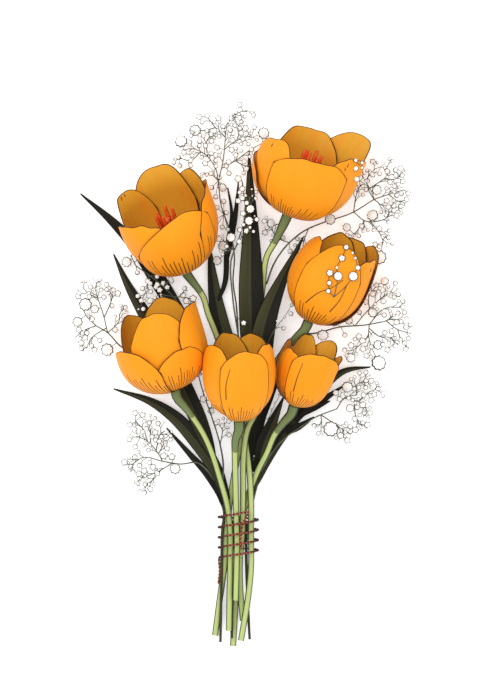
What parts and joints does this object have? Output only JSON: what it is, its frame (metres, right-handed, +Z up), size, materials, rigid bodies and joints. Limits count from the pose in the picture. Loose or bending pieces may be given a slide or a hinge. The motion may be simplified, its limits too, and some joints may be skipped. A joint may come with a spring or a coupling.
{
  "type": "bunch of tulips",
  "caption": "Bunch of open tulips with dark folded leaves and baby's-breath, tied round the stems with a wound cord and laid on a surface.",
  "frame": {"origin": "on the surface it lies on, under the middle of the bunch's box", "axes": "+Y from the cut stem ends to the blooms, +Z up from the surface, +X to the right seen from above"},
  "size_m": [0.2537, 0.4036, 0.0796],
  "materials": {
    "petal": "satin",
    "stamen": "matte",
    "stem": "satin",
    "leaf": "satin",
    "babys_breath": "matte",
    "cord": "matte"
  },
  "bodies": {
    "root": {"bloom_1": "petal", "bloom_1_stamens": "stamen", "bloom_2": "petal", "bloom_2_stamens": "stamen", "bloom_3": "petal", "bloom_3_stamens": "stamen", "bloom_4": "petal", "bloom_4_stamens": "stamen", "bloom_5": "petal", "bloom_5_stamens": "stamen", "bloom_6": "petal", "bloom_6_stamens": "stamen", "stem_1": "stem", "stem_2": "stem", "stem_3": "stem", "stem_4": "stem", "stem_5": "stem", "stem_6": "stem", "leaf_1": "leaf", "leaf_2": "leaf", "leaf_3": "leaf", "leaf_4": "leaf", "leaf_5": "leaf", "leaf_6": "leaf", "leaf_7": "leaf", "leaf_8": "leaf", "leaf_9": "leaf", "leaf_10": "leaf", "spray_1": "babys_breath", "spray_2": "babys_breath", "spray_3": "babys_breath", "spray_4": "babys_breath", "spray_5": "babys_breath", "spray_6": "babys_breath", "spray_7": "babys_breath", "spray_8": "babys_breath", "spray_9": "babys_breath", "tie": "cord"}
  },
  "joints": []
}
